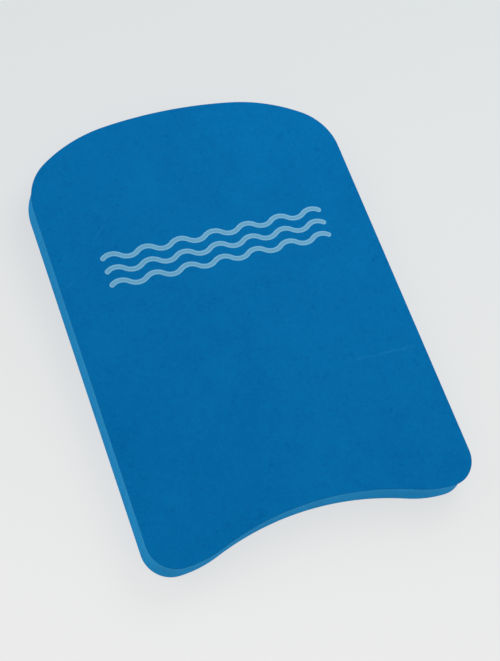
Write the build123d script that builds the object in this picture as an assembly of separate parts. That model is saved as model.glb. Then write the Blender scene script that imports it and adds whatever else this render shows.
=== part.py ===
from build123d import *
import math
import os

# A swimmer's kickboard: one slab of closed-cell foam, die-cut from sheet, with a mark screen-printed
# on its upper face. Millimetres. The origin is the centre of the slab's outline, on its underside.
# +Y points to the rounded nose, +X to the right with the nose ahead, and +Z out of the printed face.

# The slab's outline, seen from above. Its arcs run into each other and into the sides with no corner.
LENGTH = 410.0  # from the nose to the ends of the two tail lobes
NOSE_WIDTH = 296.0  # across the two nose corners
TAIL_WIDTH = 300.0  # across the two tail corners
NOSE_RADIUS = 436.0  # the shallow arc across the nose
NOSE_ARC_WIDTH = 124.0  # how much of the nose that arc takes up
SHOULDER_RADIUS = 151.0  # between the nose arc and each nose corner
NOSE_CORNER_RADIUS = 51.0
TAIL_CORNER_RADIUS = 25.5
LOBE_RADIUS = 106.0  # from each tail corner in to the scallop
SCALLOP_DEPTH = 21.5  # the hollow across the tail, which clears the swimmer's chest

# The slab's section
THICKNESS = 27.0
WALL_BOW = 1.2  # how far the cut wall bows inwards between its two lips

# The printed mark: level wave stripes, each a row of equal arcs that turn up and down by turns
STRIPE_PITCH = 13.0  # from one stripe to the next
STROKE = 4.6  # the width of a stripe's line
HALF_WAVES = 13  # an odd number keeps each stripe the same from both sides
HALF_WAVE_LENGTH = 16.0
WAVE_ANGLE = 38.0  # degrees, between a stripe's line and the X axis where it crosses its middle
INK_THICKNESS = 0.1
MARK_FROM_NOSE = 144.0  # from the nose back to the middle stripe

NOSE_Y = LENGTH / 2
TAIL_Y = -LENGTH / 2
MARK_Y = NOSE_Y - MARK_FROM_NOSE
STRIPES = {"print_wave_nose": 1, "print_wave_middle": 0, "print_wave_tail": -1}


def mirrored(point):
    """The same point on the other side of the board's middle."""
    return Vector(-point.X, point.Y)


def along(start, towards, distance):
    """The point at a distance from start, on the line towards another point."""
    return start + (towards - start).normalized() * distance


def heading(lean):
    """The direction that leans from +Y towards +X by an angle in radians."""
    return Vector(math.sin(lean), math.cos(lean))


def arc_about(centre, start, end):
    """The shorter arc from start to end around a centre."""
    middle = along(centre, (start + end) / 2, (start - centre).length)
    return ThreePointArc(start, middle, end)


def nose_centres():
    """The centres of the nose arc and of the right-hand shoulder and nose corner."""
    nose = Vector(0, NOSE_Y - NOSE_RADIUS)
    nose_lean = math.asin(NOSE_ARC_WIDTH / 2 / NOSE_RADIUS)
    shoulder = nose + heading(nose_lean) * (NOSE_RADIUS - SHOULDER_RADIUS)
    corner_reach = SHOULDER_RADIUS - NOSE_CORNER_RADIUS
    corner_x = NOSE_WIDTH / 2 - NOSE_CORNER_RADIUS
    corner_lean = math.asin((corner_x - shoulder.X) / corner_reach)
    return nose, shoulder, shoulder + heading(corner_lean) * corner_reach


def tail_centres():
    """The centres of the right-hand tail corner and lobe, and of the scallop."""
    corner = Vector(TAIL_WIDTH / 2 - TAIL_CORNER_RADIUS, TAIL_Y + TAIL_CORNER_RADIUS)
    lobe = Vector(corner.X, TAIL_Y + LOBE_RADIUS)
    scallop = Vector(0, TAIL_Y + SCALLOP_DEPTH - scallop_radius(lobe.X))
    return corner, lobe, scallop


def scallop_radius(lobe_x):
    """The radius of the arc that has the scallop's depth and touches both lobe arcs."""
    return (lobe_x**2 + SCALLOP_DEPTH**2) / (2 * SCALLOP_DEPTH) - LOBE_RADIUS


def side_normal(nose_corner, tail_corner):
    """The outward direction of the side, which is straight and touches both corner arcs."""
    way = tail_corner - nose_corner
    lean = math.acos((NOSE_CORNER_RADIUS - TAIL_CORNER_RADIUS) / way.length)
    return way.normalized().rotate(Axis.Z, math.degrees(lean))


def outline(height, inset):
    """The slab's outline as a face at a height, moved inwards all the way round by the inset."""
    nose, shoulder, nose_corner = nose_centres()
    tail_corner, lobe, scallop = tail_centres()
    normal = side_normal(nose_corner, tail_corner)
    nose_end = along(nose, shoulder, NOSE_RADIUS - inset)
    shoulder_end = along(shoulder, nose_corner, SHOULDER_RADIUS - inset)
    side_start = nose_corner + normal * (NOSE_CORNER_RADIUS - inset)
    side_end = tail_corner + normal * (TAIL_CORNER_RADIUS - inset)
    corner_end = along(lobe, tail_corner, LOBE_RADIUS - inset)
    lobe_end = along(lobe, scallop, LOBE_RADIUS - inset)
    right = [
        arc_about(shoulder, nose_end, shoulder_end),
        arc_about(nose_corner, shoulder_end, side_start),
        Line(side_start, side_end),
        arc_about(tail_corner, side_end, corner_end),
        arc_about(lobe, corner_end, lobe_end),
    ]
    nose_arc = ThreePointArc(mirrored(nose_end), Vector(0, NOSE_Y - inset), nose_end)
    scallop_top = Vector(0, TAIL_Y + SCALLOP_DEPTH + inset)
    scallop_arc = ThreePointArc(lobe_end, scallop_top, mirrored(lobe_end))
    left = [edge.mirror(Plane.YZ) for edge in right]
    return Pos(0, 0, height) * make_face([nose_arc, *right, scallop_arc, *left])


def foam_board():
    """The slab, whose cut wall bows in between a sharp lip below and a sharp lip above."""
    lower_lip = outline(0, 0)
    waist = outline(THICKNESS / 2, WALL_BOW)
    upper_lip = outline(THICKNESS, 0)
    return loft([lower_lip, waist, upper_lip])


def stripe_face(middle_y):
    """One wave stripe with round ends, flat on the XY plane."""
    turn = math.radians(WAVE_ANGLE)
    radius = HALF_WAVE_LENGTH / (2 * math.sin(turn))
    swing = radius * (1 - math.cos(turn))
    half_stroke = STROKE / 2
    start_x = -HALF_WAVES * HALF_WAVE_LENGTH / 2
    rising = [1 if i % 2 == 0 else -1 for i in range(HALF_WAVES + 1)]
    crossings = [Vector(start_x + i * HALF_WAVE_LENGTH, middle_y) for i in range(HALF_WAVES + 1)]
    across = [Vector(-math.sin(turn) * way, math.cos(turn)) * half_stroke for way in rising]
    edges = []
    for side in (1, -1):
        ends = [point + step * side for point, step in zip(crossings, across)]
        for i in range(HALF_WAVES):
            top = (crossings[i] + crossings[i + 1]) / 2
            top += Vector(0, swing * rising[i] + half_stroke * side)
            edges.append(ThreePointArc(ends[i], top, ends[i + 1]))
    for point, step, outward in ((crossings[0], across[0], -1), (crossings[-1], across[-1], 1)):
        tip = point + Vector(step.Y, -step.X) * outward
        edges.append(ThreePointArc(point - step, tip, point + step))
    return make_face(edges)


def print_stripe(row):
    """One ink stripe on the slab's upper face. Row 1 is nearest the nose."""
    face = stripe_face(MARK_Y + row * STRIPE_PITCH)
    return extrude(Pos(0, 0, THICKNESS) * face, amount=INK_THICKNESS, dir=(0, 0, 1))


def main():
    os.makedirs("parts", exist_ok=True)
    parts = {"foam_board": foam_board()}
    for name, row in STRIPES.items():
        parts[name] = print_stripe(row)
    for name, part in parts.items():
        part.label = name
        export_step(part, f"parts/{name}.step")


main()
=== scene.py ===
import math

import bmesh
import bpy
import numpy as np
from mathutils import Matrix, Vector, noise


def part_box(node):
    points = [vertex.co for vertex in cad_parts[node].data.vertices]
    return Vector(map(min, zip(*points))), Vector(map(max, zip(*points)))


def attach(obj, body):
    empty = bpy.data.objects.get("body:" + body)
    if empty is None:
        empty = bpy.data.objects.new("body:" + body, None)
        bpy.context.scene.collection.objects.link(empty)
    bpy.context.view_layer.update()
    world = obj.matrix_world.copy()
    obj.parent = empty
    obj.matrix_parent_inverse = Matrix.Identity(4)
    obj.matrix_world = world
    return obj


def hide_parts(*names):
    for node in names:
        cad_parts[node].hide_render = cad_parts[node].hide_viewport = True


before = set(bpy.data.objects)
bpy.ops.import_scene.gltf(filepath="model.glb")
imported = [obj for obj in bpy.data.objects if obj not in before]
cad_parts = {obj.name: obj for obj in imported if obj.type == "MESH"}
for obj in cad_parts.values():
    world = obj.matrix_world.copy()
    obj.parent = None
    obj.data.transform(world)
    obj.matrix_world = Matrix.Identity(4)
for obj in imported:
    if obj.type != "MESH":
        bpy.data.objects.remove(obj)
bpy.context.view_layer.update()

# A foam kickboard with a printed wave mark, in metres. +Y is the nose, +Z comes out of the printed
# face. The board's length, width and thickness and the places of the stripes come from the frame;
# the sizes below are the shape's own, as the CAD model has them.

MM = 0.001

# The outline's arcs
NOSE_WIDTH = 296 * MM
NOSE_RADIUS = 436 * MM
NOSE_ARC_WIDTH = 124 * MM
SHOULDER_RADIUS = 151 * MM
NOSE_CORNER_RADIUS = 51 * MM
TAIL_CORNER_RADIUS = 25.5 * MM
LOBE_RADIUS = 106 * MM
SCALLOP_DEPTH = 21.5 * MM
WALL_BOW = 1.2 * MM

# The printed stripes
HALF_WAVES = 13
WAVE_ANGLE = math.radians(38)
STROKE = 4.6 * MM
INK_FILM = 0.06 * MM
INK_LIFT = 0.01 * MM  # how far the film's thin edge stands above the foam
INK_ROOT = 0.02 * MM  # how far its closed underside lies below the foam's surface
INK_EDGE = 1 / 30  # the share of half a stroke over which the film builds up

# Detail that only the looks need
LIP_RADIUS = 0.55 * MM  # the cut edge of soft foam is never quite sharp
FACE_RINGS = (0.9 * MM, 1.6 * MM, 2.8 * MM)  # how far in from the outline the face's edge loops lie
FACE_SWELL, FACE_SWELL_SIZE = 0.10 * MM, 55 * MM  # slow unevenness of the sheet's faces
FACE_RIPPLE, FACE_RIPPLE_SIZE = 0.022 * MM, 9 * MM
FACE_SINK = 0.06 * MM  # how far that unevenness lies below the nominal face on average
WALL_SWELL, WALL_SWELL_SIZE = 0.16 * MM, 38 * MM  # slow unevenness of the cut
WALL_RIPPLE, WALL_RIPPLE_SIZE = 0.056 * MM, 7 * MM

# How finely the meshes are divided
LIP_STEPS = 5
WALL_ROWS = 16
ACROSS_CELLS = 124
ALONG_CELLS = 140
WAVE_STEPS = 14
STRIPE_END_STEPS = 7
STRIPE_ACROSS = np.array([-1, -0.97, -0.9, -0.6, -0.4, 0, 0.4, 0.6, 0.9, 0.97, 1])  # in half strokes

# The board's two finishes, as places in its list of materials
SHEET, CUT = 0, 1

# Light rubs on the upper face: place, direction, length, width and strength
SCUFFS = (
    ((106 * MM, -74 * MM), math.radians(-2), 84 * MM, 1.4 * MM, 0.60),
    ((-97 * MM, 102 * MM), math.radians(50), 56 * MM, 1.6 * MM, 0.30),
    ((-131 * MM, 61 * MM), math.radians(24), 40 * MM, 1.2 * MM, 0.30),
    ((36 * MM, 191 * MM), math.radians(-12), 30 * MM, 1.4 * MM, 0.30),
)

# The camera, as seen from a point near the middle of the board
CAMERA_AZIMUTH = math.radians(-46.6)
CAMERA_ELEVATION = math.radians(62.7)
CAMERA_ROLL = math.radians(29.0)
CAMERA_DISTANCE = 1.289
CAMERA_AIM = Vector((0.0045, -0.0182, 0))
CAMERA_LENS = 79.9

board_low, board_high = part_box("foam_board")
NOSE_Y = board_high.y
TAIL_Y = board_low.y
TAIL_WIDTH = board_high.x - board_low.x
THICKNESS = board_high.z - board_low.z


# Shape of the outline


def heading(angle):
    """The direction that leans from +Y towards +X by an angle, for one angle or many."""
    return np.stack([np.sin(angle), np.cos(angle)], axis=-1)


def outline_arcs():
    """The right-hand half of the outline from nose to tail, as (centre, radius, first, last heading).

    A point is centre + radius * heading and its outward normal is the heading itself, so the
    scallop, which curves the other way, has a negative radius. The straight side runs between
    the nose corner and the tail corner.
    """
    nose = np.array([0, NOSE_Y - NOSE_RADIUS])
    nose_turn = math.asin(NOSE_ARC_WIDTH / 2 / NOSE_RADIUS)
    shoulder = nose + heading(nose_turn) * (NOSE_RADIUS - SHOULDER_RADIUS)
    reach = SHOULDER_RADIUS - NOSE_CORNER_RADIUS
    corner_turn = math.asin((NOSE_WIDTH / 2 - NOSE_CORNER_RADIUS - shoulder[0]) / reach)
    nose_corner = shoulder + heading(corner_turn) * reach
    tail_corner = np.array([TAIL_WIDTH / 2 - TAIL_CORNER_RADIUS, TAIL_Y + TAIL_CORNER_RADIUS])
    lobe = np.array([tail_corner[0], TAIL_Y + LOBE_RADIUS])
    scallop_radius = (lobe[0]**2 + SCALLOP_DEPTH**2) / (2 * SCALLOP_DEPTH) - LOBE_RADIUS
    scallop = np.array([0, TAIL_Y + SCALLOP_DEPTH - scallop_radius])
    run = tail_corner - nose_corner
    lean = math.acos((NOSE_CORNER_RADIUS - TAIL_CORNER_RADIUS) / math.hypot(*run))
    side_turn = math.atan2(run[0], run[1]) - lean
    lobe_turn = math.pi + math.atan2(lobe[0], lobe[1] - scallop[1])
    return [
        (nose, NOSE_RADIUS, 0, nose_turn),
        (shoulder, SHOULDER_RADIUS, nose_turn, corner_turn),
        (nose_corner, NOSE_CORNER_RADIUS, corner_turn, side_turn),
        (tail_corner, TAIL_CORNER_RADIUS, side_turn, math.pi),
        (lobe, LOBE_RADIUS, math.pi, lobe_turn),
        (scallop, -scallop_radius, lobe_turn, math.pi),
    ]


class HalfOutline:
    """The right-hand half of the outline, measured along from the nose to the middle of the tail."""

    NOSE_CORNER, TAIL_CORNER = 2, 3  # places in the list of arcs

    def __init__(self):
        self.arcs = outline_arcs()
        self.lengths = [abs(radius * (last - first)) for _, radius, first, last in self.arcs]
        corner, radius, _, self.side_turn = self.arcs[self.NOSE_CORNER]
        self.side_start = corner + radius * heading(self.side_turn)
        corner, radius, _, _ = self.arcs[self.TAIL_CORNER]
        self.side_end = corner + radius * heading(self.side_turn)
        self.side_from = sum(self.lengths[:self.TAIL_CORNER])
        self.side_length = math.hypot(*(self.side_end - self.side_start))
        self.length = sum(self.lengths) + self.side_length

    def at(self, distance):
        """(point, outward normal) at a distance along."""
        along_side = distance - self.side_from
        if 0 <= along_side < self.side_length:
            share = along_side / self.side_length
            point = self.side_start + (self.side_end - self.side_start) * share
            return point, heading(self.side_turn)
        if along_side > 0:
            distance -= self.side_length
        arc = 0
        while distance > self.lengths[arc] and arc < len(self.arcs) - 1:
            distance -= self.lengths[arc]
            arc += 1
        centre, radius, first, last = self.arcs[arc]
        angle = first + (last - first) * min(distance / self.lengths[arc], 1)
        return centre + radius * heading(angle), heading(angle)

    def corner_middles(self):
        """How far along the middles of the nose corner and the tail corner lie."""
        nose_middle = sum(self.lengths[:self.NOSE_CORNER]) + self.lengths[self.NOSE_CORNER] / 2
        tail_middle = self.side_from + self.side_length + self.lengths[self.TAIL_CORNER] / 2
        return nose_middle, tail_middle


def outline_loop():
    """Points and outward normals once round the board, clockwise from the left nose corner's middle."""
    half = HalfOutline()
    nose_middle, tail_middle = half.corner_middles()
    half_across = ACROSS_CELLS // 2
    stops = [
        *np.linspace(0, nose_middle, half_across, endpoint=False),
        *np.linspace(nose_middle, tail_middle, ALONG_CELLS, endpoint=False),
        *np.linspace(tail_middle, half.length, half_across + 1),
    ]
    right = [half.at(stop) for stop in stops]
    flip = np.array([-1, 1])
    left = [(point * flip, normal * flip) for point, normal in right[-2:0:-1]]
    loop = right + left
    loop = loop[-half_across:] + loop[:-half_across]
    return [np.array(values) for values in zip(*loop)]


# Small unevenness, the same on every run


def swell(points, size, amount):
    """Smooth noise between -amount and amount at each point, with hills about size apart."""
    return np.array([noise.noise(Vector(p) / size) * amount for p in points])


def at_height(xy, height):
    """Points in space from points in the plane."""
    return np.column_stack([xy, np.full(len(xy), height)])


def face_height(xy):
    """How far a face dips below its nominal plane at each point. It never rises above it."""
    spots = at_height(xy, 0.5)  # far from the wall's noise, so the two don't repeat each other
    slow = swell(spots, FACE_SWELL_SIZE, FACE_SWELL)
    quick = swell(spots, FACE_RIPPLE_SIZE, FACE_RIPPLE)
    return np.minimum(slow + quick - FACE_SINK, 0)


# The board


def wall_profile():
    """(inset, height, share of the unevenness) from the lower face's edge up to the upper face's edge."""
    lower = []
    for step in range(LIP_STEPS + 1):
        angle = math.pi / 2 * step / LIP_STEPS
        lower.append((LIP_RADIUS * (1 - math.sin(angle)), LIP_RADIUS * (1 - math.cos(angle)), 0.0))
    wall = []
    for row in range(1, WALL_ROWS):
        share = row / WALL_ROWS
        height = LIP_RADIUS + (THICKNESS - 2 * LIP_RADIUS) * share
        arch = 4 * share * (1 - share)
        wall.append((WALL_BOW * arch, height, min(1, 3 * arch)))
    upper = [(inset, THICKNESS - height, rough) for inset, height, rough in reversed(lower)]
    return lower + wall + upper


def patch(ring, across, along):
    """The grid that fills a ring of 2 * (across + along) points, with the ring itself as its border."""
    top = ring[:across + 1]
    right = ring[across:across + along + 1]
    bottom = ring[across + along:2 * across + along + 1][::-1]
    left = np.concatenate([ring[2 * across + along:], ring[:1]])[::-1]
    u = np.linspace(0, 1, across + 1)[None, :, None]
    v = np.linspace(0, 1, along + 1)[:, None, None]
    edges = (1 - v) * top[None] + v * bottom[None] + (1 - u) * left[:, None] + u * right[:, None]
    top_side = (1 - u) * top[0] + u * top[-1]
    bottom_side = (1 - u) * bottom[0] + u * bottom[-1]
    return edges - ((1 - v) * top_side + v * bottom_side)


class Shell:
    """A mesh under construction: points, and faces with the place of their material in the list."""

    def __init__(self):
        self.points = []
        self.faces = []
        self.finishes = []

    def add_points(self, points):
        """Adds the points and returns their numbers in the mesh."""
        start = len(self.points)
        self.points.extend(map(tuple, points))
        return list(range(start, start + len(points)))

    def add_face(self, corners, finish):
        self.faces.append(tuple(corners))
        self.finishes.append(finish)

    def add_strip(self, outer, inner, finish):
        """Quads between two closed loops of points of the same length."""
        for i in range(len(outer)):
            j = (i + 1) % len(outer)
            self.add_face((outer[i], outer[j], inner[j], inner[i]), finish)

    def add_grid(self, rows, finish):
        """Quads between neighbouring rows of points of the same length."""
        for above, below in zip(rows, rows[1:]):
            for i in range(len(above) - 1):
                self.add_face((above[i], above[i + 1], below[i + 1], below[i]), finish)

    def object(self, name, materials):
        mesh = bpy.data.meshes.new(name)
        mesh.from_pydata(self.points, [], self.faces)
        for material in materials:
            mesh.materials.append(material)
        mesh.polygons.foreach_set("material_index", self.finishes)
        mesh.polygons.foreach_set("use_smooth", [True] * len(self.faces))
        mesh.update()
        made = bpy.data.objects.new(name, mesh)
        bpy.context.scene.collection.objects.link(made)
        return made


def turn_faces_outwards(piece):
    work = bmesh.new()
    work.from_mesh(piece.data)
    bmesh.ops.recalc_face_normals(work, faces=work.faces)
    work.to_mesh(piece.data)
    work.free()


def add_sheet_face(shell, edge, points, normals, is_upper):
    """One flat face: edge loops just inside the lip, then a grid across the middle."""

    def dipped(xy, share):
        dip = face_height(xy) * share
        return np.column_stack([xy, THICKNESS + dip if is_upper else -dip])

    ring = edge
    for inset in FACE_RINGS:
        inner = shell.add_points(dipped(points - normals * inset, inset / FACE_RINGS[-1]))
        shell.add_strip(ring, inner, SHEET)
        ring = inner
    xy = patch(points - normals * FACE_RINGS[-1], ACROSS_CELLS, ALONG_CELLS)
    bottom_start = ACROSS_CELLS + ALONG_CELLS
    rows = [ring[:ACROSS_CELLS + 1]]
    for row in range(1, ALONG_CELLS):
        middle = shell.add_points(dipped(xy[row, 1:-1], 1))
        rows.append([ring[-row], *middle, ring[ACROSS_CELLS + row]])
    rows.append(ring[bottom_start:bottom_start + ACROSS_CELLS + 1][::-1])
    shell.add_grid(rows, SHEET)


def make_board(sheet_material, cut_material):
    points, normals = outline_loop()
    shell = Shell()
    loops = []
    for inset, height, rough in wall_profile():
        spots = at_height(points, height)
        uneven = swell(spots, WALL_SWELL_SIZE, WALL_SWELL) + swell(spots, WALL_RIPPLE_SIZE, WALL_RIPPLE)
        inward = inset + rough * (WALL_SWELL + uneven)
        xy = points - normals * inward[:, None]
        loops.append(shell.add_points(at_height(xy, height)))
    for row, (lower, upper) in enumerate(zip(loops, loops[1:])):
        on_cut = LIP_STEPS <= row < LIP_STEPS + WALL_ROWS
        shell.add_strip(lower, upper, CUT if on_cut else SHEET)
    add_sheet_face(shell, loops[-1], points, normals, is_upper=True)
    add_sheet_face(shell, loops[0], points, normals, is_upper=False)
    board = shell.object("foam_board_body", [sheet_material, cut_material])
    turn_faces_outwards(board)
    return board


# The print


def stripe_line(node):
    """Points and sideways directions along the middle of a stripe, from its box in the frame."""
    low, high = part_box(node)
    middle_y = (low.y + high.y) / 2
    chord = (high.x - low.x - STROKE) / HALF_WAVES
    radius = chord / (2 * math.sin(WAVE_ANGLE))
    line, sideways = [], []
    for wave in range(HALF_WAVES):
        up = 1 if wave % 2 == 0 else -1
        centre_x = low.x + STROKE / 2 + (wave + 0.5) * chord
        centre = np.array([centre_x, middle_y - up * radius * math.cos(WAVE_ANGLE)])
        is_last = wave == HALF_WAVES - 1
        for step in range(WAVE_STEPS + is_last):
            turn = WAVE_ANGLE * (2 * step / WAVE_STEPS - 1)
            out = np.array([math.sin(turn), up * math.cos(turn)])
            line.append(centre + radius * out)
            sideways.append(out * up)
    return np.array(line), np.array(sideways)


def stripe_rows(line, sideways):
    """The stripe's cross rows, with its round ends, as (middle, sideways, half width, way past the end)."""
    half = STROKE / 2
    forward = np.column_stack([sideways[:, 1], -sideways[:, 0]])
    angles = [math.pi / 2 * step / STRIPE_END_STEPS for step in range(1, STRIPE_END_STEPS + 1)]
    rows = []
    for angle in angles:
        past = half * math.cos(angle)
        rows.append((line[0] - forward[0] * past, sideways[0], half * math.sin(angle), past))
    rows += [(point, side, half, 0.0) for point, side in zip(line[1:-1], sideways[1:-1])]
    for angle in reversed(angles):
        past = half * math.cos(angle)
        rows.append((line[-1] + forward[-1] * past, sideways[-1], half * math.sin(angle), past))
    return rows


def make_stripe(name, node, ink):
    """A thin closed film that lies on the board's face and thins out at its very edge.

    Its point attribute near_edge runs from 0 on the stripe's middle line to 1 at its edge.
    """
    film = INK_FILM * np.minimum(1, (1 - np.abs(STRIPE_ACROSS)) / INK_EDGE)
    shell = Shell()
    tops, bottoms, near_edge = [], [], []
    for middle, side, half, past in stripe_rows(*stripe_line(node)):
        xy = middle + STRIPE_ACROSS[:, None] * half * side
        ground = THICKNESS + face_height(xy)
        top = shell.add_points(np.column_stack([xy, ground + INK_LIFT + film]))
        low = shell.add_points(np.column_stack([xy, ground - INK_ROOT])[1:-1])
        tops.append(top)
        bottoms.append([top[0], *low, top[-1]])
        share = np.hypot(STRIPE_ACROSS * half, past) / (STROKE / 2)
        near_edge += [*share, *share[1:-1]]
    shell.add_grid(tops, 0)
    shell.add_grid([row[::-1] for row in bottoms], 0)
    for end in (0, -1):
        shell.add_face(tops[end] + bottoms[end][1:-1][::-1], 0)
    stripe = shell.object(name, [ink])
    attribute = stripe.data.attributes.new("near_edge", "FLOAT", "POINT")
    attribute.data.foreach_set("value", near_edge)
    turn_faces_outwards(stripe)
    return stripe


# Materials


def rgb(red, green, blue):
    """A colour in linear light."""
    return (red, green, blue, 1.0)


SHEET_DARK, SHEET_LIGHT = rgb(0.0007, 0.1290, 0.3590), rgb(0.0013, 0.1605, 0.4130)
SHEET_BLOT = rgb(0.0003, 0.0990, 0.3010)
SHEET_PORE = rgb(0.0005, 0.0880, 0.2630)
SHEET_RUB = rgb(0.0100, 0.1900, 0.4500)
CUT_DARK, CUT_LIGHT = rgb(0.0092, 0.2220, 0.4920), rgb(0.0142, 0.2690, 0.5770)
CUT_PORE = rgb(0.0050, 0.1560, 0.3820)
CUT_HOLE = rgb(0.0030, 0.1000, 0.2900)
INK_THIN, INK_THICK = rgb(0.115, 0.337, 0.523), rgb(0.190, 0.460, 0.670)
INK_SPECK = rgb(0.02, 0.18, 0.42)

# The floor's own colour and its glow, near the tail, beyond the nose and far away. The glow is painted light
# that keeps the board's contact shadow faint. The darker, cooler colours beyond the nose are painted shade,
# a falloff of light across the table.
FLOOR_TAIL, FLOOR_NOSE_SHADED = rgb(0.200, 0.200, 0.200), rgb(0.170, 0.176, 0.182)
GLOW_TAIL, GLOW_NOSE_SHADED = rgb(0.694, 0.690, 0.684), rgb(0.522, 0.545, 0.548)
GLOW_FAR = rgb(0.486, 0.493, 0.499)
BACKDROP = rgb(0.98, 0.99, 1.0)
BACKDROP_STRENGTH = 0.63


def new_material(name):
    material = bpy.data.materials.new(name)
    material.use_nodes = True
    tree = material.node_tree
    return material, tree, tree.nodes["Principled BSDF"]


def feed(tree, socket, value):
    """Sets an input socket to a fixed value, or links it to another node's output."""
    if isinstance(value, bpy.types.NodeSocket):
        tree.links.new(value, socket)
    else:
        socket.default_value = value


def add_node(tree, kind, inputs=(), **settings):
    node = tree.nodes.new(kind)
    for key, value in settings.items():
        setattr(node, key, value)
    for key, value in dict(inputs).items():
        feed(tree, node.inputs[key], value)
    return node


def object_place(tree):
    return add_node(tree, "ShaderNodeTexCoord").outputs["Object"]


def noise_pattern(tree, where, size, detail=2.0, roughness=0.5):
    """Cloudy noise with patches about size metres across, from 0 to 1."""
    inputs = {"Vector": where, "Scale": 1 / size, "Detail": detail, "Roughness": roughness}
    return add_node(tree, "ShaderNodeTexNoise", inputs).outputs["Fac"]


def cell_pattern(tree, where, size):
    """Foam cells about size metres across: 0 in the middle of each, rising towards its walls."""
    inputs = {"Vector": where, "Scale": 1 / size, "Randomness": 1.0}
    return add_node(tree, "ShaderNodeTexVoronoi", inputs, feature="F1").outputs["Distance"]


def spread(tree, value, low, high, to_low=0.0, to_high=1.0):
    """The value stretched so that low to high becomes to_low to to_high, and held to that range."""
    inputs = {"Value": value, "From Min": low, "From Max": high, "To Min": to_low, "To Max": to_high}
    return add_node(tree, "ShaderNodeMapRange", inputs).outputs["Result"]


def blend_colour(tree, share, first, second):
    """The first colour where share is 0 and the second where it is 1."""
    node = add_node(tree, "ShaderNodeMix", data_type="RGBA")
    factor, colour_a, colour_b = node.inputs[0], node.inputs[6], node.inputs[7]
    feed(tree, factor, share)
    feed(tree, colour_a, first)
    feed(tree, colour_b, second)
    return node.outputs[2]


def total(tree, *parts):
    """The sum of (value, weight) pairs."""
    result = 0.0
    for value, weight in parts:
        inputs = {0: value, 1: weight, 2: result}
        result = add_node(tree, "ShaderNodeMath", inputs, operation="MULTIPLY_ADD").outputs[0]
    return result


def absolute(tree, value):
    return add_node(tree, "ShaderNodeMath", {0: value}, operation="ABSOLUTE").outputs[0]


def product(tree, first, second):
    return add_node(tree, "ShaderNodeMath", {0: first, 1: second}, operation="MULTIPLY").outputs[0]


def bump(tree, shader, height, distance):
    node = add_node(tree, "ShaderNodeBump", {"Height": height, "Distance": distance, "Strength": 1.0})
    tree.links.new(node.outputs["Normal"], shader.inputs["Normal"])


def scuff(tree, where, place, turn, length, width):
    """A light rub on the foam: 1 along a wavering line of the given length at place, 0 away from it."""
    wander = noise_pattern(tree, where, 14 * MM, detail=3)
    to_line = {"Vector": where, "Location": (*place, 0), "Rotation": (0, 0, turn)}
    local = add_node(tree, "ShaderNodeMapping", to_line, vector_type="TEXTURE").outputs["Vector"]
    split = add_node(tree, "ShaderNodeSeparateXYZ", {"Vector": local})
    wobble = spread(tree, wander, 0.3, 0.7, -0.7 * width, 0.7 * width)
    off_line = total(tree, (split.outputs["Y"], 1), (wobble, 1))
    near = spread(tree, absolute(tree, off_line), 0, width, 1, 0)
    within = spread(tree, absolute(tree, split.outputs["X"]), length * 0.3, length * 0.5, 1, 0)
    worn = spread(tree, noise_pattern(tree, where, 5 * MM, detail=2), 0.35, 0.6)
    return product(tree, product(tree, near, within), worn)


def sheet_material():
    """The sheet's own face: smooth and dull, with tight closed cells, mottling, blots and a few rubs."""
    material, tree, shader = new_material("foam_face")
    where = object_place(tree)
    broad = noise_pattern(tree, where, 50 * MM, detail=2)
    mottle = noise_pattern(tree, where, 11 * MM, detail=5, roughness=0.95)
    peel = noise_pattern(tree, where, 2.0 * MM, detail=2)
    tone = spread(tree, total(tree, (broad, 0.25), (mottle, 0.5), (peel, 0.25)), 0.37, 0.63)
    colour = blend_colour(tree, tone, SHEET_DARK, SHEET_LIGHT)
    patches = noise_pattern(tree, where, 24 * MM, detail=3, roughness=0.6)
    dull = spread(tree, total(tree, (mottle, 0.5), (patches, 0.5)), 0.42, 0.54, 1.0, 0.0)
    spots = noise_pattern(tree, where, 5 * MM, detail=4, roughness=0.7)
    blots = product(tree, spread(tree, spots, 0.55, 0.74, 0.0, 0.9), dull)
    colour = blend_colour(tree, blots, colour, SHEET_BLOT)
    cells = cell_pattern(tree, where, 0.55 * MM)
    pores = spread(tree, cells, 0.10, 0.24, 0.22, 0.0)
    colour = blend_colour(tree, pores, colour, SHEET_PORE)
    rubs = total(tree, *[(scuff(tree, where, *line), strength) for *line, strength in SCUFFS])
    colour = blend_colour(tree, rubs, colour, SHEET_RUB)
    tree.links.new(colour, shader.inputs["Base Color"])
    tree.links.new(spread(tree, mottle, 0.3, 0.7, 0.74, 0.88), shader.inputs["Roughness"])
    shader.inputs["Specular IOR Level"].default_value = 0.02
    bump(tree, shader, total(tree, (cells, 0.25), (peel, 0.75)), 0.12 * MM)
    return material


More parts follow.
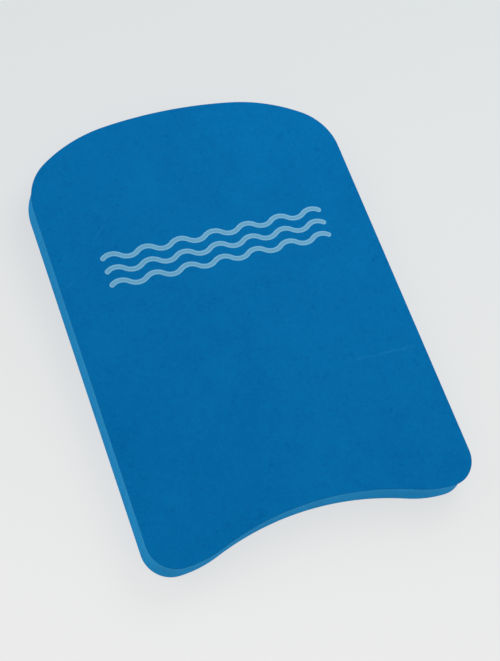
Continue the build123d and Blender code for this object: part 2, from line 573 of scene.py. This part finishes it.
def cut_material():
    """The die-cut wall: opened cells, paler and rougher, with faint marks of the blade's travel."""
    material, tree, shader = new_material("foam_cut")
    where = object_place(tree)
    stretch = {"Vector": where, "Scale": (1, 1, 0.15)}
    blade_way = add_node(tree, "ShaderNodeMapping", stretch).outputs["Vector"]
    streaks = noise_pattern(tree, blade_way, 2.2 * MM, detail=3, roughness=0.6)
    broad = noise_pattern(tree, where, 26 * MM, detail=4, roughness=0.75)
    tone = spread(tree, total(tree, (broad, 0.55), (streaks, 0.45)), 0.36, 0.64)
    colour = blend_colour(tree, tone, CUT_DARK, CUT_LIGHT)
    cells = cell_pattern(tree, where, 0.8 * MM)
    pores = spread(tree, cells, 0.12, 0.30, 0.35, 0.0)
    colour = blend_colour(tree, pores, colour, CUT_PORE)
    holes = spread(tree, cell_pattern(tree, where, 3.2 * MM), 0.07, 0.15, 0.75, 0.0)
    colour = blend_colour(tree, holes, colour, CUT_HOLE)
    tree.links.new(colour, shader.inputs["Base Color"])
    tree.links.new(spread(tree, streaks, 0.3, 0.7, 0.82, 0.95), shader.inputs["Roughness"])
    shader.inputs["Specular IOR Level"].default_value = 0.05
    bump(tree, shader, total(tree, (cells, 0.45), (streaks, 0.45), (holes, -0.6)), 0.18 * MM)
    return material


def ink_material():
    """Pale screen-print ink, built up along its edges and thin enough for foam cells to show through."""
    material, tree, shader = new_material("print_ink")
    where = object_place(tree)
    mottle = noise_pattern(tree, where, 7 * MM, detail=4, roughness=0.7)
    near_edge = add_node(tree, "ShaderNodeAttribute", attribute_name="near_edge").outputs["Fac"]
    built_up = spread(tree, near_edge, 0.45, 0.62)
    tone = spread(tree, total(tree, (built_up, 0.7), (mottle, 0.6)), 0.2, 1.1)
    colour = blend_colour(tree, tone, INK_THIN, INK_THICK)
    cells = cell_pattern(tree, where, 0.55 * MM)
    specks = spread(tree, cells, 0.08, 0.16, 0.5, 0.0)
    colour = blend_colour(tree, specks, colour, INK_SPECK)
    tree.links.new(colour, shader.inputs["Base Color"])
    tree.links.new(spread(tree, mottle, 0.3, 0.7, 0.52, 0.64), shader.inputs["Roughness"])
    shader.inputs["Specular IOR Level"].default_value = 0.15
    bump(tree, shader, total(tree, (cells, 0.5), (mottle, 0.5)), 0.03 * MM)
    return material


def floor_material():
    """A pale table that glows with painted light, which keeps the board's contact shadow faint. It is a
    little cooler and darker beyond the nose, which is painted shade, and it fades into the backdrop.
    """
    material, tree, shader = new_material("studio_floor")
    where = object_place(tree)
    towards_nose = {0: where, 1: (0.35, 0.94, 0)}
    away = add_node(tree, "ShaderNodeVectorMath", towards_nose, operation="DOT_PRODUCT")
    reach = add_node(tree, "ShaderNodeVectorMath", {0: where}, operation="LENGTH")
    clouds = noise_pattern(tree, where, 0.5, detail=2)
    # Towards the nose the floor's colour and glow both darken: painted shade, a falloff of light across the
    # table.
    share = total(tree, (spread(tree, away.outputs["Value"], -0.42, 0.42), 0.9), (clouds, 0.1))
    far = spread(tree, reach.outputs["Value"], 0.8, 2.6)
    near_colour = blend_colour(tree, share, FLOOR_TAIL, FLOOR_NOSE_SHADED)
    near_glow = blend_colour(tree, share, GLOW_TAIL, GLOW_NOSE_SHADED)
    colour = blend_colour(tree, far, near_colour, FLOOR_TAIL)
    glow = blend_colour(tree, far, near_glow, GLOW_FAR)
    tree.links.new(colour, shader.inputs["Base Color"])
    # The emission is painted light: the table glows though it is no lamp, which keeps the board's contact
    # shadow on it faint.
    tree.links.new(glow, shader.inputs["Emission Color"])
    shader.inputs["Emission Strength"].default_value = 1.0
    shader.inputs["Roughness"].default_value = 0.9
    shader.inputs["Specular IOR Level"].default_value = 0.0
    return material


# Studio


def make_floor():
    ticks = np.linspace(-40, 40, 9)
    shell = Shell()
    rows = [shell.add_points([(x, y, board_low.z) for x in ticks]) for y in ticks]
    shell.add_grid(rows, 0)
    floor = shell.object("studio_floor", [floor_material()])


def make_light(name, kind, place, strength, **settings):
    """A light that shines from a place towards the board. A sun has only the direction of its place."""
    lamp = bpy.data.lights.new(name, kind)
    lamp.energy = strength
    for key, value in settings.items():
        setattr(lamp, key, value)
    light = bpy.data.objects.new(name, lamp)
    light.location = place
    light.rotation_euler = (-Vector(place)).to_track_quat("-Z", "Y").to_euler()
    light.visible_camera = False
    bpy.context.scene.collection.objects.link(light)


def make_studio():
    world = bpy.data.worlds.new("studio")
    world.use_nodes = True
    background = world.node_tree.nodes["Background"]
    background.inputs["Color"].default_value = BACKDROP
    background.inputs["Strength"].default_value = BACKDROP_STRENGTH
    bpy.context.scene.world = world
    make_light("key_softbox", "AREA", (0.64, 0.64, 0.80), 6.1, shape="DISK", size=0.9)
    make_light("nose_fill", "SUN", (-0.75, 0.58, 0.32), 0.74, angle=math.radians(50))
    make_light("tail_fill", "SUN", (0.55, -0.80, 0.18), 0.32, angle=math.radians(50))
    make_floor()


def make_camera():
    lens = bpy.data.cameras.new("camera")
    lens.lens = CAMERA_LENS
    lens.sensor_width = 36
    camera = bpy.data.objects.new("camera", lens)
    aim = (board_low + board_high) / 2 + CAMERA_AIM
    back = Vector((
        math.sin(CAMERA_AZIMUTH) * math.cos(CAMERA_ELEVATION),
        -math.cos(CAMERA_AZIMUTH) * math.cos(CAMERA_ELEVATION),
        math.sin(CAMERA_ELEVATION),
    ))
    place = Matrix.Translation(aim + back * CAMERA_DISTANCE)
    level = (-back).to_track_quat("-Z", "Y").to_matrix().to_4x4()
    camera.matrix_world = place @ level @ Matrix.Rotation(CAMERA_ROLL, 4, "Z")
    bpy.context.scene.collection.objects.link(camera)
    bpy.context.scene.camera = camera


bpy.context.scene.view_settings.view_transform = "Standard"
make_studio()
make_camera()

board = make_board(sheet_material(), cut_material())
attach(board, "root")
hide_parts("foam_board")

ink = ink_material()
for place in ("nose", "middle", "tail"):
    stripe = make_stripe(f"ink_wave_{place}", f"print_wave_{place}", ink)
    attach(stripe, "root")
    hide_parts(f"print_wave_{place}")
